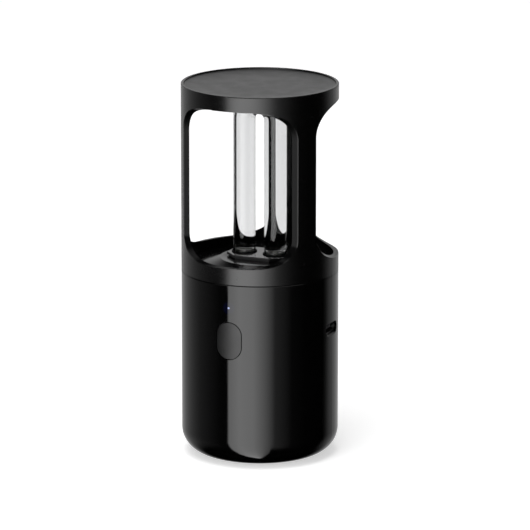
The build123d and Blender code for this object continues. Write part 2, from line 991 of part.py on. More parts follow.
def make_usb_tongue():
    near = port_face_x - port_depth + port_wall
    far = port_face_x - tongue_setback
    base_width = port_width - 2 * port_wall - slip_gap
    base_opening = port_opening - 2 * port_wall - slip_gap
    base = port_prism(base_width, base_opening, near, near + tongue_base_depth)
    blade = block(
        (near, far),
        (-tongue_width / 2, tongue_width / 2),
        (port_z - tongue_thickness / 2, port_z + tongue_thickness / 2),
    )
    return base + blade


def make_switch_board():
    board = block(
        (-switch_board_half_width, switch_board_half_width),
        (switch_board_front_y, switch_board_back_y),
        (switch_board_low, switch_board_high),
    )
    board = fillet(board.edges().filter_by(Axis.Y), board_corner_radius)
    for x, z in switch_hole_points():
        board -= forward_rod(screw_radius + screw_hole_gap, switch_board_front_y, switch_board_back_y, x, z)
    return board


def make_switch_screws():
    seat_y = switch_board_front_y
    return [forward_screw(seat_y, board_screw_length, x, z) for x, z in switch_hole_points()]


def make_switch_body():
    half = switch_size / 2
    body = block((-half, half), (switch_face_y, switch_board_front_y), (button_z - half, button_z + half))
    body = fillet(body.edges().filter_by(Axis.Y), switch_corner)
    flange_room = plunger_flange_radius + plunger_fit
    chamber_front = switch_face_y + switch_face_wall
    chamber_back = chamber_front + plunger_flange_thickness + 2 * button_travel
    body -= forward_rod(plunger_radius + plunger_fit, switch_face_y, chamber_front, 0, button_z)
    body -= forward_rod(flange_room, chamber_front, chamber_back, 0, button_z)
    return body


def make_switch_plunger():
    flange_front = switch_face_y + switch_face_wall + plunger_gap
    flange_back = flange_front + plunger_flange_thickness
    plunger = forward_rod(plunger_radius, plunger_tip_y, flange_back, 0, button_z)
    plunger += forward_rod(plunger_flange_radius, flange_front, flange_back, 0, button_z)
    return plunger


def make_button_cap():
    """Flush oval key with a flange behind the shell's wall and a stem to the switch."""
    front = -body_radius - cut_margin
    key = button_prism(0, front, flange_back_y) & upright_rod(body_radius, 0, seam)
    key = fillet(key.edges().filter_by(outer_edge), button_edge_round)
    flange = button_prism(button_flange, front, flange_back_y) & upright_rod(flange_front_radius, 0, seam)
    stem = forward_rod(button_stem_radius, flange_back_y, stem_end_y, 0, button_z)
    return key + flange + stem


def outer_edge(edge):
    """True for the edges that lie on the body's outer face."""
    point = edge @ 0.5
    return math.hypot(point.X, point.Y) > body_radius - edge_round


def make_status_led():
    return block(
        (-led_length / 2, led_length / 2),
        (switch_board_front_y - led_depth, switch_board_front_y),
        (light_z - led_width / 2, light_z + led_width / 2),
    )


def make_light_pipe():
    """Clear rod from a hood over the light to the pinhole in the shell."""
    hood_front = switch_board_front_y - light_hood_depth
    hood = block(
        (-light_hood_width / 2, light_hood_width / 2),
        (hood_front, switch_board_front_y),
        (light_z - light_hood_height / 2, light_z + light_hood_height / 2),
    )
    pocket_half_width = light_hood_width / 2 - light_hood_wall
    pocket_half_height = light_hood_height / 2 - light_hood_wall
    hood -= block(
        (-pocket_half_width, pocket_half_width),
        (switch_board_front_y - led_depth - slip_gap, switch_board_front_y),
        (light_z - pocket_half_height, light_z + pocket_half_height),
    )
    rod = forward_rod(light_rod_radius, -shell_inner + slip_gap, hood_front, 0, light_z)
    tip_radius = light_hole_radius - light_tip_gap
    tip = forward_rod(tip_radius, -body_radius + light_tip_gap, hood_front, 0, light_z)
    return hood + rod + tip


def all_nodes():
    """Each sub-part's name with its shape."""
    return {
        "base_shell": make_base_shell(),
        "base_cover": make_base_cover(),
        "cover_screws": make_cover_screws(),
        "foot_pad": make_foot_pad(),
        "cage_frame": make_cage_frame(),
        "top_cap": make_top_cap(),
        "reflector_dish": make_reflector_dish(),
        "lamp_plate": make_lamp_plate(),
        "tube_grommets": make_tube_grommets(),
        "lamp_base": make_lamp_base(),
        "uv_tube": make_uv_tube(),
        "electrode_cups": make_electrode_cups(),
        "lamp_leads": make_lamp_leads(),
        "chassis": make_chassis(),
        "chassis_screws": make_chassis_screws(),
        "battery_cell": make_battery_cell(),
        "battery_tabs": make_battery_tabs(),
        "battery_pad": make_battery_pad(),
        "battery_leads": make_battery_leads(),
        "driver_board": make_driver_board(),
        "driver_screws": make_driver_screws(),
        "transformer_core": make_transformer_core(),
        "transformer_coil": make_transformer_coil(),
        "driver_capacitors": make_driver_capacitors(),
        "driver_chips": make_driver_chips(),
        "board_connectors": make_board_connectors(),
        "power_leads": make_power_leads(),
        "signal_leads": make_signal_leads(),
        "charge_board": make_charge_board(),
        "charge_screws": make_charge_screws(),
        "charge_chips": make_charge_chips(),
        "usb_socket": make_usb_socket(),
        "usb_tongue": make_usb_tongue(),
        "switch_board": make_switch_board(),
        "switch_screws": make_switch_screws(),
        "switch_body": make_switch_body(),
        "switch_plunger": make_switch_plunger(),
        "button_cap": make_button_cap(),
        "status_led": make_status_led(),
        "light_pipe": make_light_pipe(),
    }


def main():
    os.makedirs("parts", exist_ok=True)
    for name, shape in all_nodes().items():
        if isinstance(shape, list):
            shape = Compound(children=shape)
        export_step(shape, f"parts/{name}.step")


main()
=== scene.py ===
import math

import bpy
from bpy.props import FloatProperty, FloatVectorProperty, PointerProperty
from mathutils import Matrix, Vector


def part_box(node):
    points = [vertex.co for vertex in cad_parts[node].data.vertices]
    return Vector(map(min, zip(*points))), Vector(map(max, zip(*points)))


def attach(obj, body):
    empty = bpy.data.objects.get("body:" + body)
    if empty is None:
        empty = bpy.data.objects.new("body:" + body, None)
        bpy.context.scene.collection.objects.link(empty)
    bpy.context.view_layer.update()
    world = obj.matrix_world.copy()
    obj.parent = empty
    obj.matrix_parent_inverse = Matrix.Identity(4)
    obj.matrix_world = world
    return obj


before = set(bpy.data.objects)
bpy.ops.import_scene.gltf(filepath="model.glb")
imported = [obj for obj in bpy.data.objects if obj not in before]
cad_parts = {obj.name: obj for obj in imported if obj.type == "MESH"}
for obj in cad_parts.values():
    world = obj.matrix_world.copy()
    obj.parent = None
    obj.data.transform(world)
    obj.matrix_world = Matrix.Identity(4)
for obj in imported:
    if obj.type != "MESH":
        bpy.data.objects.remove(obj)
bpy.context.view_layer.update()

bl_info = {
    "name": "Pocket ultraviolet lamp",
    "version": (1, 0, 0),
    "blender": (4, 5, 0),
    "location": "View3D > Sidebar > Lamp",
    "description": "Dresses the packed lamp in its finishes and sets it on a pale studio floor",
    "category": "Object",
}

# Lengths are in metres.

# The camera of the photograph, worked out from the lamp's outline
CAMERA_TURN = math.radians(23.2)
CAMERA_RISE = math.radians(13.594)
CAMERA_DISTANCE = 1.6283
CAMERA_AIM_RIGHT = 0.0017
CAMERA_AIM_HEIGHT = 0.06454
CAMERA_LENS = 327.7
CAMERA_SENSOR = 36.0
CAMERA_REACH = 50.0
# The lamp overhead, a little left of the camera
TOP_LAMP_TURN = CAMERA_TURN - math.radians(30)
TOP_LAMP_RISE = math.radians(78)
TOP_LAMP_DISTANCE = 1.2
# Light that the floor adds of its own for the camera, so that it looks white
FLOOR_LIFT = 0.55
# The shallow sweep between the disc on top and its rim
SWEEP_WIDTH = 0.009
SWEEP_RISE = 0.00045
SWEEP_STEPS = 10
SWEEP_PARTS = 128

# Reach and share of the painted glow of the status light on the sleeve
PAINTED_GLOW_REACH = 0.0006
PAINTED_GLOW_SHARE = 0.008
# The status light's glow painted on its clear rod: level at the tip and further in, and how deep it fades
TIP_LEVEL = 0.5
ROD_LEVEL = 0.05
ROD_FADE = 0.0012
# Colour in the middle of the tip, the shares of the rod's radius between which it fades, and how much of
# the light's own colour shows round it
TIP_COLOUR = (0.62, 0.7, 1.0)
TIP_FADE = (0.3, 0.9)
TIP_EDGE_SHARE = 0.3
# Level of the diode's own light
DIODE_LEVEL = 1.5

# Specular levels: the first is a shader's own, and the others are lowered levels that paint shade on some
# faces
FULL_GLOSS = 0.5
CAGE_SHADE_GLOSS = 0.12
PLATE_SHADE_GLOSS = 0.12
DISH_SHADOW_GLOSS = 0.06
BUTTON_SHADE_GLOSS = 0.05
GROMMET_SHADOW_GLOSS = 0.1
# The grommets' rubber beside that of the foot, darkened to paint the shade at the tube's feet
GROMMET_DARKENING = 0.3
# Widths of the painted shade: the button's edge, the plate's step, and the painted shadow on the dish round
# the plate
BUTTON_SHADE_EDGE = 0.0003
PLATE_SHADE_STEP = 0.0003
DISH_SHADOW_FADE = 0.004
# How far the painted shade on the cage's inside comes out towards its round face
CAGE_SHADE_EDGE = 0.0004
# Depth of quartz that is sure to be outside the bore
QUARTZ_SKIN = 0.0003

# Refraction
PLASTIC_IOR = 1.5
CAGE_IOR = 1.58
CAP_IOR = 1.62
PLATE_IOR = 1.85
QUARTZ_IOR = 1.458
ROD_IOR = 1.49
# A noise texture seldom leaves this range
NOISE_RANGE = (0.3, 0.7)
# Colour sockets of a mix node
MIX_FIRST, MIX_SECOND, MIX_RESULT = 6, 7, 2
WHITE = (1.0, 1.0, 1.0)
BLACK = (0.0, 0.0, 0.0)

# Colours of pieces that have no setting of their own, and of the patterns in the rod and the diode
ELECTRODE_NICKEL = (0.6, 0.595, 0.58)
TAB_NICKEL = (0.62, 0.6, 0.56)
SOCKET_STEEL = (0.3, 0.3, 0.305)
SCREW_STEEL = (0.5, 0.5, 0.51)
TONGUE_PLASTIC = (0.02, 0.02, 0.021)
SWITCH_PLASTIC = (0.03, 0.03, 0.032)
PLUNGER_PLASTIC = (0.5, 0.48, 0.44)
PAD_FOAM = (0.16, 0.16, 0.17)
CORE_FERRITE = (0.045, 0.043, 0.042)
COIL_TAPE = (0.5, 0.24, 0.03)
CAN_SLEEVE = (0.012, 0.014, 0.02)
CHIP_EPOXY = (0.014, 0.014, 0.015)
CONNECTOR_NYLON = (0.78, 0.75, 0.66)
ROD_DARK = (0.1, 0.12, 0.3)
ROD_LIGHT = (0.14, 0.17, 0.36)
LENS_PALE = (0.8, 0.85, 1.0)

# The light round the lamp: degrees from the camera's side, left negative, and share of the full level.
# One tall softbox stands left of the camera. Its left edge is hard, its right one soft, and the far wall
# is dim.
SOFTBOX_STOPS = (
    (-180, 0.18),
    (-150, 0.14),
    (-126, 0.1),
    (-100, 0.048),
    (-60, 0.005),
    (-49, 0.003),
    (-47, 0.75),
    (-30, 1.0),
    (-10, 0.9),
    (8, 0.46),
    (22, 0.09),
    (48, 0.008),
    (70, 0.0),
    (106, 0.0),
    (113, 0.02),
    (122, 0.07),
    (136, 0.11),
    (150, 0.15),
    (180, 0.18),
)
# Where the softbox fades out at its top and where the overhead light begins, in degrees of height
SOFTBOX_TOP = (15, 36)
OVERHEAD_EDGE = (50, 62)
# The dim walls are no brighter than this share and end at this height. The softbox goes on below it.
WALL_LEVEL = 0.2
WALL_FOOT = (-48, -24)


def colour_setting(name, description, default):
    return FloatVectorProperty(name=name, description=description, default=default, subtype="COLOR",
                               size=3, min=0.0, max=1.0)


class LampFinishes(bpy.types.PropertyGroup):
    """Colours of the lamp's pieces"""

    shell: colour_setting("Sleeve", "Glossy plastic of the round base", (0.0009, 0.0009, 0.001))
    cage: colour_setting("Cage", "Satin plastic of the cage", (0.0015, 0.0015, 0.0016))
    cap: colour_setting("Cap", "Fine matt plastic of the disc on top", (0.03, 0.03, 0.0305))
    inner: colour_setting("Dish", "Plastic of the dish round the plate", (0.003, 0.003, 0.0032))
    plate: colour_setting("Plate", "Polished plastic of the plate round the tube", (0.01, 0.01, 0.0105))
    button: colour_setting("Button", "Fine matt plastic of the push button", (0.0025, 0.0025, 0.0027))
    rubber: colour_setting("Foot", "Rubber of the foot and the grommets", (0.006, 0.006, 0.006))
    ceramic: colour_setting("Lamp base", "Glazed ceramic that holds the tube", (0.74, 0.735, 0.72))
    quartz: colour_setting("Tube", "Clear quartz of the tube", (0.66, 0.663, 0.668))
    glow: colour_setting("Status light", "Light that shows in the pinhole", (0.05, 0.11, 1.0))
    laminate: colour_setting("Boards", "Solder mask of the circuit boards", (0.012, 0.075, 0.035))
    chassis: colour_setting("Chassis", "Plastic of the inner frame", (0.055, 0.055, 0.06))
    cell: colour_setting("Battery", "Sleeve of the battery cell", (0.03, 0.16, 0.34))
    warm_lead: colour_setting("Supply leads", "Insulation of the battery and power leads",
                              (0.42, 0.02, 0.015))
    dark_lead: colour_setting("Signal leads", "Insulation of the signal leads", (0.02, 0.02, 0.022))
    pale_lead: colour_setting("Tube leads", "Insulation of the two tube leads", (0.75, 0.74, 0.7))


class LampStage(bpy.types.PropertyGroup):
    """Light and floor round the lamp"""

    softbox: FloatProperty(name="Softbox", description="Level of the softbox as gloss shows it",
                           default=3.5, min=0.0, soft_max=6.0)
    softbox_fill: FloatProperty(name="Fill", description="Level of the softbox on matt surfaces",
                                default=1.3, min=0.0, soft_max=3.0)
    ambient: FloatProperty(name="Ambient", description="Level of light from all round on matt surfaces",
                           default=0.1, min=0.0, soft_max=1.0)
    overhead: FloatProperty(name="Overhead", description="Level of the overhead light as gloss shows it",
                            default=0.8, min=0.0, soft_max=6.0)
    floor: colour_setting("Floor", "Paper that the lamp stands on", (0.93, 0.93, 0.93))
    floor_size: FloatProperty(name="Floor size", description="Width of the floor", default=6.0, min=1.0,
                              unit="LENGTH")
    top_power: FloatProperty(name="Top lamp", description="Power of the lamp over the object",
                             default=6.0, min=0.0, unit="POWER")
    top_size: FloatProperty(name="Top size", description="Width of that lamp", default=0.7, min=0.05,
                            unit="LENGTH")


def finishes():
    return bpy.context.scene.lamp_finishes


def stage_settings():
    return bpy.context.scene.lamp_stage


def shade(colour, factor):
    return tuple(min(1.0, channel * factor) for channel in colour)


def grey(level):
    return (level, level, level)


def corners(box):
    return [Vector(corner) for corner in box]


def towards(turn, rise):
    """Direction from the object, turned round it from the button's side and raised."""
    return Vector((math.sin(turn) * math.cos(rise), -math.cos(turn) * math.cos(rise), math.sin(rise)))


class Graph:
    """A tree of shader nodes, with the few nodes that the finishes and the studio share."""

    def __init__(self, tree):
        self.tree = tree
        tree.nodes.clear()

    def new(self, kind, **settings):
        node = self.tree.nodes.new(f"ShaderNode{kind}")
        for name, value in settings.items():
            setattr(node, name, value)
        return node

    def feed(self, socket, value):
        """Links an output to this socket, or gives the socket a number or a vector."""
        if isinstance(value, bpy.types.NodeSocket):
            self.tree.links.new(value, socket)
        else:
            socket.default_value = value

    def compute(self, operation, *values):
        node = self.new("Math", operation=operation)
        for socket, value in zip(node.inputs, values):
            self.feed(socket, value)
        return node.outputs[0]

    def root_of_squares(self, first, second):
        squares = [self.compute("MULTIPLY", value, value) for value in (first, second)]
        return self.compute("SQRT", self.compute("ADD", *squares))

    def spread(self, source, low, high, start=NOISE_RANGE[0], end=NOISE_RANGE[1]):
        """Goes evenly from low to high while the source goes from start to end."""
        return self.map_range(source, low, high, start, end, "LINEAR")

    def fade(self, source, low, high, start, end):
        """Goes smoothly from low to high while the source goes from start to end."""
        return self.map_range(source, low, high, start, end, "SMOOTHSTEP")

    def map_range(self, source, low, high, start, end, interpolation):
        node = self.new("MapRange", interpolation_type=interpolation)
        self.feed(node.inputs["Value"], source)
        for name, value in (("From Min", start), ("From Max", end), ("To Min", low), ("To Max", high)):
            node.inputs[name].default_value = value
        return node.outputs["Result"]

    def mix(self, factor, first, second):
        """Blends two colours, each an output or three numbers."""
        node = self.new("Mix", data_type="RGBA")
        self.feed(node.inputs["Factor"], factor)
        for socket, value in ((node.inputs[MIX_FIRST], first), (node.inputs[MIX_SECOND], second)):
            self.feed(socket, value if isinstance(value, bpy.types.NodeSocket) else (*value, 1.0))
        return node.outputs[MIX_RESULT]


class Finish(Graph):
    """A material whose patterns lie in the shared frame at rest and move with the piece."""

    def __init__(self, name):
        self.material = bpy.data.materials.new(name)
        self.material.use_nodes = True
        super().__init__(self.material.node_tree)
        output = self.new("OutputMaterial")
        self.shader = self.new("BsdfPrincipled")
        self.feed(output.inputs["Surface"], self.shader.outputs["BSDF"])
        self.place = self.new("TexCoord").outputs["Object"]

    def set(self, **values):
        """Gives sockets of the shader one value all over, such as emission_strength=1.5."""
        for key, value in values.items():
            self.shader.inputs[key.replace("_", " ").title().replace("Ior", "IOR")].default_value = value
        return self

    def link(self, source, socket):
        self.feed(self.shader.inputs[socket], source)

    def noise(self, per_metre, detail=3.0, stretch=(1.0, 1.0, 1.0)):
        mapping = self.new("Mapping")
        self.feed(mapping.inputs["Vector"], self.place)
        mapping.inputs["Scale"].default_value = stretch
        node = self.new("TexNoise")
        self.feed(node.inputs["Vector"], mapping.outputs["Vector"])
        node.inputs["Scale"].default_value = per_metre
        node.inputs["Detail"].default_value = detail
        return node.outputs["Fac"]

    def cells(self, per_metre, **settings):
        node = self.new("TexVoronoi", **settings)
        self.feed(node.inputs["Vector"], self.place)
        node.inputs["Scale"].default_value = per_metre
        return node.outputs["Distance"]

    def axis(self, letter):
        node = self.new("SeparateXYZ")
        self.feed(node.inputs["Vector"], self.place)
        return node.outputs[letter]

    def tint(self, pattern, colour, dark, light):
        """Varies the colour between a darker and a lighter shade of it."""
        self.link(self.mix(pattern, shade(colour, dark), shade(colour, light)), "Base Color")

    def polish(self, pattern, low, high):
        """Varies the roughness."""
        self.link(self.spread(pattern, low, high), "Roughness")

    def bump(self, height, depth, strength=1.0):
        node = self.new("Bump")
        self.feed(node.inputs["Height"], height)
        node.inputs["Strength"].default_value = strength
        node.inputs["Distance"].default_value = depth
        self.link(node.outputs["Normal"], "Normal")
        return self


def dress(finish, *nodes):
    """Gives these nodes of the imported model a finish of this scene."""
    for name in nodes:
        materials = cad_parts[name].data.materials
        materials.clear()
        materials.append(finish.material)


def gloss_plastic(name, colour, rough=0.07):
    """Polished plastic with faint clouds and the slight waviness of a moulding."""
    finish = Finish(name)
    finish.tint(finish.noise(35.0, detail=2.0), colour, dark=0.85, light=1.25)
    finish.polish(finish.noise(90.0, detail=4.0), low=rough * 0.8, high=rough * 1.25)
    finish.bump(finish.noise(700.0, detail=1.0), depth=0.000002)
    return finish.set(ior=PLASTIC_IOR)


def satin_plastic(name, colour, rough=0.4, grain=3200.0, depth=0.000012):
    """Plastic with the fine grain of a textured mould."""
    finish = Finish(name)
    finish.tint(finish.noise(60.0), colour, dark=0.9, light=1.1)
    finish.polish(finish.noise(220.0, detail=4.0), low=rough * 0.92, high=rough * 1.1)
    finish.bump(finish.noise(grain, detail=2.0), depth, strength=0.5)
    return finish.set(ior=PLASTIC_IOR)


def cage_plastic_with_painted_shade(name, colour, rough):
    """Satin plastic with painted shade: lower gloss inside and on the windows' cut faces, except on the top
    rim and at the seam.
    """
    finish = satin_plastic(name, colour, rough)
    high = Vector(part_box("cage_frame")[1])
    seam_side = finish.compute("LESS_THAN", finish.axis("Z"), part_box("reflector_dish")[0][2])
    rim_side = finish.compute("GREATER_THAN", finish.axis("Z"), high.z - CAGE_SHADE_EDGE)
    off = finish.root_of_squares(finish.axis("X"), finish.axis("Y"))
    # Painted shade: the gloss drops on the faces inside the cage's round face
    level = finish.fade(off, CAGE_SHADE_GLOSS, FULL_GLOSS, high.x - CAGE_SHADE_EDGE, high.x)
    bright = finish.compute("MULTIPLY", finish.compute("MAXIMUM", seam_side, rim_side), FULL_GLOSS)
    finish.link(finish.compute("MAXIMUM", level, bright), "Specular IOR Level")
    return finish.set(ior=CAGE_IOR)


def sleeve_with_painted_glow(name, colour, glow):
    """The sleeve's gloss, with a faint painted glow of the status light on the rim of its pinhole."""
    finish = gloss_plastic(name, colour)
    low, high = corners(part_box("light_pipe"))
    middle = (low + high) / 2
    off = finish.root_of_squares(finish.axis("X"), finish.compute("SUBTRACT", finish.axis("Z"), middle.z))
    # Painted glow: emission on the sleeve round the pinhole, standing in for the status light's spill
    near = finish.fade(off, 1.0, 0.0, high.x, high.x + PAINTED_GLOW_REACH)
    front = finish.compute("LESS_THAN", finish.axis("Y"), low.y + PAINTED_GLOW_REACH)
    finish.link(finish.compute("MULTIPLY", near, front), "Emission Strength")
    return finish.set(emission_color=(*shade(glow, PAINTED_GLOW_SHARE), 1.0))


def button_with_painted_shade(name, colour):
    """Fine matt plastic with painted shade on its edge: lowered gloss there makes the gap round the button
    read as a dark line.
    """
    finish = satin_plastic(name, colour, rough=0.34, grain=5200.0)
    low, high = corners(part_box("button_cap"))
    middle, half = (low + high) / 2, (high - low) / 2
    up = finish.compute("ABSOLUTE", finish.compute("SUBTRACT", finish.axis("Z"), middle.z))
    past = finish.compute("MAXIMUM", finish.compute("SUBTRACT", up, half.z - half.x), 0.0)
    off = finish.root_of_squares(finish.axis("X"), past)
    # Painted shade: the gloss drops towards the button's edge
    level = finish.fade(off, FULL_GLOSS, BUTTON_SHADE_GLOSS, half.x - BUTTON_SHADE_EDGE, half.x)
    finish.link(level, "Specular IOR Level")
    return finish


def plate_with_painted_step_shade(name, colour):
    """Polished plate with painted shade on the step round it: full gloss on its top face and lowered gloss
    on the step.
    """
    finish = gloss_plastic(name, colour, rough=0.1)
    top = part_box("lamp_plate")[1][2]
    # Painted shade: the gloss drops on the step below the top face
    level = finish.fade(finish.axis("Z"), PLATE_SHADE_GLOSS, FULL_GLOSS, top - PLATE_SHADE_STEP, top - PLATE_SHADE_STEP / 4)
    finish.link(level, "Specular IOR Level")
    return finish.set(ior=PLATE_IOR)


def dish_with_painted_shadow(name, colour):
    """Glossy dish with a painted shadow where it meets the plate: its gloss is lowered there."""
    finish = gloss_plastic(name, colour, rough=0.14)
    high = Vector(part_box("lamp_plate")[1])
    deep = finish.compute("MULTIPLY", finish.axis("Y"), high.x / high.y)
    off = finish.root_of_squares(finish.axis("X"), deep)
    # Painted shadow: the gloss drops near the plate
    level = finish.fade(off, DISH_SHADOW_GLOSS, FULL_GLOSS, high.x, high.x + DISH_SHADOW_FADE)
    finish.link(level, "Specular IOR Level")
    return finish


def rubber(name, colour):
    finish = Finish(name)
    speck = finish.noise(2500.0, detail=2.0)
    finish.tint(speck, colour, dark=0.7, light=1.5)
    finish.polish(finish.noise(300.0), low=0.68, high=0.85)
    return finish.bump(speck, depth=0.00002, strength=0.6)


def glazed_ceramic(name, colour):
    """Pale glaze with a few small dark specks."""
    finish = Finish(name)
    specks = finish.spread(finish.cells(1500.0), 0.0, 1.0, start=0.0, end=0.12)
    finish.tint(specks, colour, dark=0.72, light=1.0)
    finish.polish(finish.noise(260.0), low=0.28, high=0.45)
    return finish.bump(finish.noise(1200.0, detail=2.0), depth=0.00001, strength=0.5)


def metal(name, colour, rough, stretch=(1.0, 1.0, 14.0)):
    """Bare metal, streaked across the axis that is stretched."""
    finish = Finish(name)
    streak = finish.noise(500.0, detail=4.0, stretch=stretch)
    finish.tint(streak, colour, dark=0.72, light=1.08)
    finish.polish(streak, low=rough * 0.75, high=rough * 1.3)
    finish.bump(streak, depth=0.000006, strength=0.4)
    return finish.set(metallic=1.0)


def insulation(name, colour):
    finish = Finish(name)
    finish.tint(finish.noise(180.0), colour, dark=0.8, light=1.2)
    finish.polish(finish.noise(700.0), low=0.32, high=0.5)
    return finish.bump(finish.noise(1600.0), depth=0.000008, strength=0.5)


def board_laminate(name, colour):
    """Solder mask over copper: the tracks show as paler cells."""
    finish = Finish(name)
    tracks = finish.cells(420.0, feature="F2", distance="CHEBYCHEV")
    line = finish.spread(tracks, 0.0, 1.0, start=0.5, end=0.56)
    finish.tint(line, colour, dark=1.0, light=1.9)
    finish.polish(finish.noise(900.0), low=0.3, high=0.42)
    return finish.bump(line, depth=0.00003, strength=0.5)


def shrink_sleeve(name, colour):
    """Shrunk film with a slight lengthwise ripple."""
    finish = Finish(name)
    ripple = finish.noise(420.0, detail=2.0, stretch=(1.0, 1.0, 0.25))
    finish.tint(ripple, colour, dark=0.85, light=1.2)
    finish.polish(ripple, low=0.2, high=0.34)
    return finish.bump(ripple, depth=0.00003, strength=0.6)


def winding_tape(name, colour):
    """Amber tape wound over copper, lap over lap."""
    finish = Finish(name)
    turns = finish.new("TexWave", bands_direction="Z", wave_profile="SAW")
    finish.feed(turns.inputs["Vector"], finish.place)
    turns.inputs["Scale"].default_value = 130.0
    turns.inputs["Distortion"].default_value = 0.4
    lap = turns.outputs["Fac"]
    finish.tint(lap, colour, dark=0.75, light=1.2)
    finish.polish(finish.noise(500.0), low=0.22, high=0.36)
    return finish.bump(lap, depth=0.00004, strength=0.6)


def speckled(name, colour, rough, per_metre=1800.0, depth=0.00003):
    """A fired, foamed or moulded mass with a visible grain."""
    finish = Finish(name)
    speck = finish.cells(per_metre)
    finish.tint(finish.spread(speck, 0.0, 1.0, start=0.1, end=0.7), colour, dark=0.65, light=1.35)
    finish.polish(finish.noise(per_metre * 0.4), low=rough * 0.9, high=rough * 1.1)
    return finish.bump(speck, depth, strength=0.5)


def translucent_plastic(name, colour):
    finish = Finish(name)
    finish.tint(finish.noise(240.0), colour, dark=0.9, light=1.05)
    finish.polish(finish.noise(900.0), low=0.3, high=0.42)
    return finish.set(subsurface_weight=0.15, subsurface_scale=0.001)


def quartz_glass(name, colour):
    """Clear drawn quartz with faint lengthwise draw lines.

    The bore's own skin is clear, so that the legs look solid.
    """
    finish = Finish(name)
    draw = finish.noise(900.0, detail=2.0, stretch=(1.0, 1.0, 0.02))
    finish.tint(draw, colour, dark=0.97, light=1.01)
    finish.polish(finish.noise(60.0), low=0.0, high=0.012)
    low, high = corners(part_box("uv_tube"))
    radius = (high.y - low.y) / 2
    centre = (high.x - low.x) / 2 - radius
    turn_height = high.z - radius - centre
    across, deep, up = (finish.axis(letter) for letter in "XYZ")
    over = finish.compute("MAXIMUM", finish.compute("SUBTRACT", up, turn_height), 0.0)
    ring = finish.root_of_squares(across, over)
    off = finish.root_of_squares(finish.compute("SUBTRACT", ring, centre), deep)
    finish.link(finish.compute("GREATER_THAN", off, radius - QUARTZ_SKIN), "Alpha")
    return finish.set(transmission_weight=1.0, ior=QUARTZ_IOR)


def light_guide(name, colour):
    """Clear rod with the status light's glow painted on it as emission, bright at its tip in the sleeve and
    pale in the middle of the tip.
    """
    finish = Finish(name)
    low, high = corners(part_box("light_pipe"))
    radius = (high.x - low.x) / 2
    off = finish.root_of_squares(finish.axis("X"),
                                 finish.compute("SUBTRACT", finish.axis("Z"), low.z + radius))
    edge = finish.fade(off, 0.0, 1.0, *(radius * share for share in TIP_FADE))
    finish.link(finish.mix(edge, TIP_COLOUR, shade(colour, TIP_EDGE_SHARE)), "Emission Color")
    # Painted glow: bright at the tip, fading further into the rod
    finish.link(finish.fade(finish.axis("Y"), TIP_LEVEL, ROD_LEVEL, low.y, low.y + ROD_FADE),
                "Emission Strength")
    finish.link(finish.mix(finish.noise(2500.0, detail=2.0), ROD_DARK, ROD_LIGHT), "Base Color")
    return finish.set(roughness=0.12, ior=ROD_IOR)


def led_lens(name, colour):
    finish = Finish(name)
    cloud = finish.noise(1500.0, detail=2.0)
    finish.link(finish.mix(cloud, shade(colour, 0.8), LENS_PALE), "Base Color")
    finish.link(finish.mix(cloud, colour, shade(colour, 1.3)), "Emission Color")
    return finish.set(roughness=0.15, emission_strength=DIODE_LEVEL)


def make_cap_sweep(finish):
    """The shallow sweep that rises from the disc to the rim round it."""
    low, high = corners(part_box("top_cap"))
    outer = (high.x - low.x) / 2
    points = []
    for step in range(SWEEP_STEPS + 1):
        share = step / SWEEP_STEPS
        radius = outer - SWEEP_WIDTH * (1 - share)
        height = high.z + SWEEP_RISE * share ** 2
        for part in range(SWEEP_PARTS):
            angle = 2 * math.pi * part / SWEEP_PARTS
            points.append((radius * math.cos(angle), radius * math.sin(angle), height))
    faces = []
    for ring in range(SWEEP_STEPS):
        first, second = ring * SWEEP_PARTS, (ring + 1) * SWEEP_PARTS
        for part in range(SWEEP_PARTS):
            after = (part + 1) % SWEEP_PARTS
            faces.append((second + part, second + after, first + after, first + part))
    mesh = bpy.data.meshes.new("cap_sweep")
    mesh.from_pydata(points, [], faces)
    mesh.polygons.foreach_set("use_smooth", [True] * len(mesh.polygons))
    mesh.materials.append(finish.material)
    sweep = bpy.data.objects.new("cap_sweep", mesh)
    bpy.context.collection.objects.link(sweep)
    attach(sweep, "lamp")


def ring_light(studio, direction):
    """Level of the light from each side, the same at every height, from 0 to 1."""
    back = studio.compute("MULTIPLY", direction["Y"], -1.0)
    turn = studio.compute("ARCTAN2", direction["X"], back)
    # 0 is the camera's side, and left is negative.
    turn = studio.compute("SUBTRACT", turn, CAMERA_TURN)
    turn = studio.compute("WRAP", turn, math.pi, -math.pi)
    ramp = studio.new("ValToRGB")
    studio.feed(ramp.inputs["Fac"], studio.spread(turn, 0.0, 1.0, start=-math.pi, end=math.pi))
    elements = ramp.color_ramp.elements
    # New stops may start anywhere, as all of them are placed afterwards.
    while len(elements) < len(SOFTBOX_STOPS):
        elements.new(0.5)
    for element, (angle, level) in zip(elements, SOFTBOX_STOPS):
        element.position = (angle + 180) / 360
        element.color = (*grey(level), 1.0)
    return ramp.outputs["Color"]


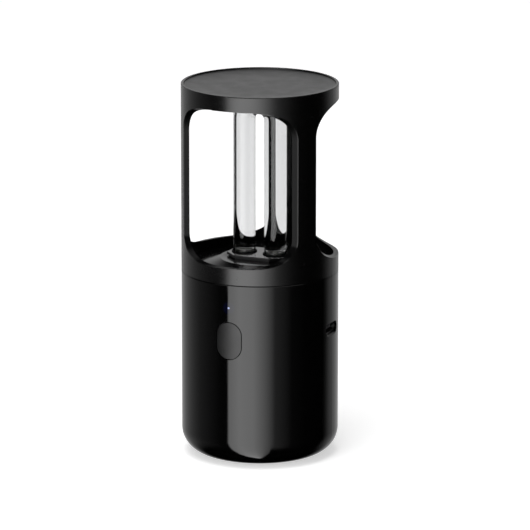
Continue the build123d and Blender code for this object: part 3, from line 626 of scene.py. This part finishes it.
def make_world():
    """White to the camera and through quartz, and a studio with one softbox to all that reflects."""
    settings = stage_settings()
    world = bpy.data.worlds.new("studio")
    world.use_nodes = True
    bpy.context.scene.world = world
    studio = Graph(world.node_tree)
    parts = studio.new("SeparateXYZ")
    studio.feed(parts.inputs["Vector"], studio.new("TexCoord").outputs["Generated"])
    light = ring_light(studio, parts.outputs)
    path = studio.new("LightPath")

    def above(angles):
        """Goes smoothly from 0 to 1 between two heights in the sky."""
        start, end = (math.sin(math.radians(angle)) for angle in angles)
        return studio.fade(parts.outputs["Z"], 0.0, 1.0, start, end)

    def levelled(level, added):
        """The ring's light at this level, with the same added all round."""
        node = studio.new("VectorMath", operation="MULTIPLY_ADD")
        for socket, value in zip(node.inputs, (light, grey(level), grey(added))):
            studio.feed(socket, value)
        return node.outputs[0]

    matt = levelled(settings.softbox_fill, settings.ambient)
    gloss = studio.mix(above(SOFTBOX_TOP), levelled(settings.softbox, 0.0), BLACK)
    softbox = studio.compute("GREATER_THAN", light, WALL_LEVEL)
    gloss = studio.mix(studio.compute("MAXIMUM", softbox, above(WALL_FOOT)), BLACK, gloss)
    gloss = studio.mix(above(OVERHEAD_EDGE), gloss, grey(settings.overhead))
    seen = studio.mix(path.outputs["Is Glossy Ray"], matt, gloss)
    for ray in ("Is Transmission Ray", "Is Camera Ray"):
        seen = studio.mix(path.outputs[ray], seen, WHITE)
    background = studio.new("Background")
    studio.feed(background.inputs["Color"], seen)
    output = studio.new("OutputWorld")
    studio.feed(output.inputs["Surface"], background.outputs["Background"])


def make_floor():
    """Paper that keeps the lamp's soft shadow and looks white to the camera. Gloss doesn't show it."""
    settings = stage_settings()
    half = settings.floor_size / 2
    mesh = bpy.data.meshes.new("floor")
    mesh.from_pydata([(-half, -half, 0), (half, -half, 0), (half, half, 0), (-half, half, 0)], [],
                     [(0, 1, 2, 3)])
    floor = bpy.data.objects.new("floor", mesh)
    bpy.context.collection.objects.link(floor)
    floor.visible_glossy = False
    finish = Finish("floor_paper")
    finish.tint(finish.noise(400.0), settings.floor, dark=0.99, light=1.01)
    path = finish.new("LightPath")
    either = finish.compute("MAXIMUM", path.outputs["Is Camera Ray"], path.outputs["Is Transmission Ray"])
    finish.link(finish.compute("MULTIPLY", either, FLOOR_LIFT), "Emission Strength")
    finish.set(roughness=0.9, emission_color=(*WHITE, 1.0))
    mesh.materials.append(finish.material)


def make_lamp():
    """One wide lamp overhead, which lights the top and gives the floor its soft shadow."""
    settings = stage_settings()
    data = bpy.data.lights.new("top", "AREA")
    data.energy = settings.top_power
    data.size = settings.top_size
    lamp = bpy.data.objects.new("top", data)
    bpy.context.collection.objects.link(lamp)
    direction = towards(TOP_LAMP_TURN, TOP_LAMP_RISE)
    lamp.location = direction * TOP_LAMP_DISTANCE
    lamp.rotation_euler = direction.to_track_quat("Z", "Y").to_euler()
    lamp.visible_glossy = False


def make_camera():
    data = bpy.data.cameras.new("camera")
    data.lens = CAMERA_LENS
    data.sensor_width = CAMERA_SENSOR
    data.clip_end = CAMERA_REACH
    camera = bpy.data.objects.new("camera", data)
    bpy.context.collection.objects.link(camera)
    back = towards(CAMERA_TURN, CAMERA_RISE)
    right = Vector((math.cos(CAMERA_TURN), math.sin(CAMERA_TURN), 0.0))
    aim = right * CAMERA_AIM_RIGHT + Vector((0.0, 0.0, CAMERA_AIM_HEIGHT))
    camera.location = aim + back * CAMERA_DISTANCE
    camera.rotation_euler = back.to_track_quat("Z", "Y").to_euler()
    bpy.context.scene.camera = camera


class LAMP_OT_stage(bpy.types.Operator):
    """Set up the floor, the light and the camera"""

    bl_idname = "lamp.stage"
    bl_label = "Stage"
    bl_options = {"REGISTER", "UNDO"}

    def execute(self, context):
        make_camera()
        make_world()
        make_floor()
        make_lamp()
        context.scene.view_settings.view_transform = "Standard"
        return {"FINISHED"}


class LAMP_OT_sleeve(bpy.types.Operator):
    """Finish the glossy sleeve, the bottom cover and the foot"""

    bl_idname = "lamp.sleeve"
    bl_label = "Sleeve, cover and foot"
    bl_options = {"REGISTER", "UNDO"}

    def execute(self, context):
        dress(sleeve_with_painted_glow("shell_black", finishes().shell, finishes().glow), "base_shell")
        dress(satin_plastic("cover_black", finishes().cage, rough=0.5), "base_cover")
        dress(rubber("foot_rubber", finishes().rubber), "foot_pad")
        return {"FINISHED"}


class LAMP_OT_cage(bpy.types.Operator):
    """Finish the three-pillar cage and its cap"""

    bl_idname = "lamp.cage"
    bl_label = "Cage and cap"
    bl_options = {"REGISTER", "UNDO"}

    def execute(self, context):
        dress(cage_plastic_with_painted_shade("cage_black", finishes().cage, rough=0.25), "cage_frame")
        cap = satin_plastic("cap_black", finishes().cap, rough=0.36).set(ior=CAP_IOR)
        dress(cap, "top_cap")
        make_cap_sweep(cap)
        return {"FINISHED"}


class LAMP_OT_seat(bpy.types.Operator):
    """Finish the dish, plate, grommets and ceramic base that carry the tube"""

    bl_idname = "lamp.seat"
    bl_label = "Tube seat"
    bl_options = {"REGISTER", "UNDO"}

    def execute(self, context):
        dress(dish_with_painted_shadow("reflector_black", finishes().inner), "reflector_dish")
        dress(plate_with_painted_step_shade("plate_black", finishes().plate), "lamp_plate")
        # Painted shade: the grommets are darker and duller than the foot's rubber, for the dark band at the
        # tube's feet
        grommet = rubber("grommet_rubber", shade(finishes().rubber, GROMMET_DARKENING))
        dress(grommet.set(specular_ior_level=GROMMET_SHADOW_GLOSS), "tube_grommets")
        dress(glazed_ceramic("base_ceramic", finishes().ceramic), "lamp_base")
        return {"FINISHED"}


class LAMP_OT_tube(bpy.types.Operator):
    """Finish the quartz tube and its electrodes"""

    bl_idname = "lamp.tube"
    bl_label = "Tube"
    bl_options = {"REGISTER", "UNDO"}

    def execute(self, context):
        dress(quartz_glass("tube_quartz", finishes().quartz), "uv_tube")
        dress(metal("electrode_nickel", ELECTRODE_NICKEL, rough=0.28), "electrode_cups")
        return {"FINISHED"}


class LAMP_OT_button(bpy.types.Operator):
    """Finish the push button and the switch behind it"""

    bl_idname = "lamp.button"
    bl_label = "Button and switch"
    bl_options = {"REGISTER", "UNDO"}

    def execute(self, context):
        dress(button_with_painted_shade("button_black", finishes().button), "button_cap")
        dress(satin_plastic("switch_plastic", SWITCH_PLASTIC, rough=0.45), "switch_body")
        dress(satin_plastic("plunger_plastic", PLUNGER_PLASTIC), "switch_plunger")
        return {"FINISHED"}


class LAMP_OT_light(bpy.types.Operator):
    """Finish the status light and the rod that carries it outside"""

    bl_idname = "lamp.light"
    bl_label = "Status light"
    bl_options = {"REGISTER", "UNDO"}

    def execute(self, context):
        dress(led_lens("led_lens", finishes().glow), "status_led")
        dress(light_guide("pipe_acrylic", finishes().glow), "light_pipe")
        return {"FINISHED"}


class LAMP_OT_port(bpy.types.Operator):
    """Finish the charging port"""

    bl_idname = "lamp.port"
    bl_label = "Charging port"
    bl_options = {"REGISTER", "UNDO"}

    def execute(self, context):
        dress(metal("socket_steel", SOCKET_STEEL, rough=0.32, stretch=(10.0, 1.0, 1.0)), "usb_socket")
        dress(satin_plastic("tongue_plastic", TONGUE_PLASTIC), "usb_tongue")
        return {"FINISHED"}


class LAMP_OT_chassis(bpy.types.Operator):
    """Finish the inner frame and all the screws"""

    bl_idname = "lamp.chassis"
    bl_label = "Chassis and screws"
    bl_options = {"REGISTER", "UNDO"}

    def execute(self, context):
        plastic = satin_plastic("chassis_plastic", finishes().chassis, rough=0.48, grain=1800.0,
                                depth=0.00003)
        dress(plastic, "chassis")
        screws = [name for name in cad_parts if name.endswith("_screws")]
        dress(metal("screw_steel", SCREW_STEEL, rough=0.32), *screws)
        return {"FINISHED"}


class LAMP_OT_battery(bpy.types.Operator):
    """Finish the battery cell, its tabs and its cushion"""

    bl_idname = "lamp.battery"
    bl_label = "Battery"
    bl_options = {"REGISTER", "UNDO"}

    def execute(self, context):
        dress(shrink_sleeve("cell_wrap", finishes().cell), "battery_cell")
        dress(metal("tab_nickel", TAB_NICKEL, rough=0.28), "battery_tabs")
        dress(speckled("pad_foam", PAD_FOAM, rough=0.85), "battery_pad")
        return {"FINISHED"}


class LAMP_OT_boards(bpy.types.Operator):
    """Finish the three circuit boards and the parts on them"""

    bl_idname = "lamp.boards"
    bl_label = "Circuit boards"
    bl_options = {"REGISTER", "UNDO"}

    def execute(self, context):
        laminate = board_laminate("board_laminate", finishes().laminate)
        dress(laminate, "driver_board", "charge_board", "switch_board")
        dress(speckled("core_ferrite", CORE_FERRITE, rough=0.6), "transformer_core")
        dress(winding_tape("coil_tape", COIL_TAPE), "transformer_coil")
        dress(shrink_sleeve("can_sleeve", CAN_SLEEVE), "driver_capacitors")
        epoxy = speckled("chip_epoxy", CHIP_EPOXY, rough=0.55, per_metre=6000.0, depth=0.000008)
        dress(epoxy, "driver_chips", "charge_chips")
        dress(translucent_plastic("connector_nylon", CONNECTOR_NYLON), "board_connectors")
        return {"FINISHED"}


class LAMP_OT_leads(bpy.types.Operator):
    """Finish the four sets of leads inside the sleeve"""

    bl_idname = "lamp.leads"
    bl_label = "Leads"
    bl_options = {"REGISTER", "UNDO"}

    def execute(self, context):
        dress(insulation("lead_red", finishes().warm_lead), "battery_leads", "power_leads")
        dress(insulation("lead_black", finishes().dark_lead), "signal_leads")
        dress(insulation("lead_white", finishes().pale_lead), "lamp_leads")
        return {"FINISHED"}


OPERATORS = (
    LAMP_OT_stage,
    LAMP_OT_sleeve,
    LAMP_OT_cage,
    LAMP_OT_seat,
    LAMP_OT_tube,
    LAMP_OT_button,
    LAMP_OT_light,
    LAMP_OT_port,
    LAMP_OT_chassis,
    LAMP_OT_battery,
    LAMP_OT_boards,
    LAMP_OT_leads,
)


class LAMP_PT_panel(bpy.types.Panel):
    """Lists the lamp's operators and settings"""

    bl_label = "Lamp"
    bl_idname = "LAMP_PT_panel"
    bl_space_type = "VIEW_3D"
    bl_region_type = "UI"
    bl_category = "Lamp"

    def draw(self, context):
        for operator in OPERATORS:
            self.layout.operator(operator.bl_idname)
        for group in (context.scene.lamp_finishes, context.scene.lamp_stage):
            for name in group.__annotations__:
                self.layout.prop(group, name)


CLASSES = (LampFinishes, LampStage, *OPERATORS, LAMP_PT_panel)


def register():
    for each in CLASSES:
        bpy.utils.register_class(each)
    bpy.types.Scene.lamp_finishes = PointerProperty(type=LampFinishes)
    bpy.types.Scene.lamp_stage = PointerProperty(type=LampStage)


def unregister():
    del bpy.types.Scene.lamp_stage
    del bpy.types.Scene.lamp_finishes
    for each in reversed(CLASSES):
        bpy.utils.unregister_class(each)


def main():
    register()
    for operator in OPERATORS:
        group, name = operator.bl_idname.split(".")
        getattr(getattr(bpy.ops, group), name)()


if __name__ == "__main__":
    main()
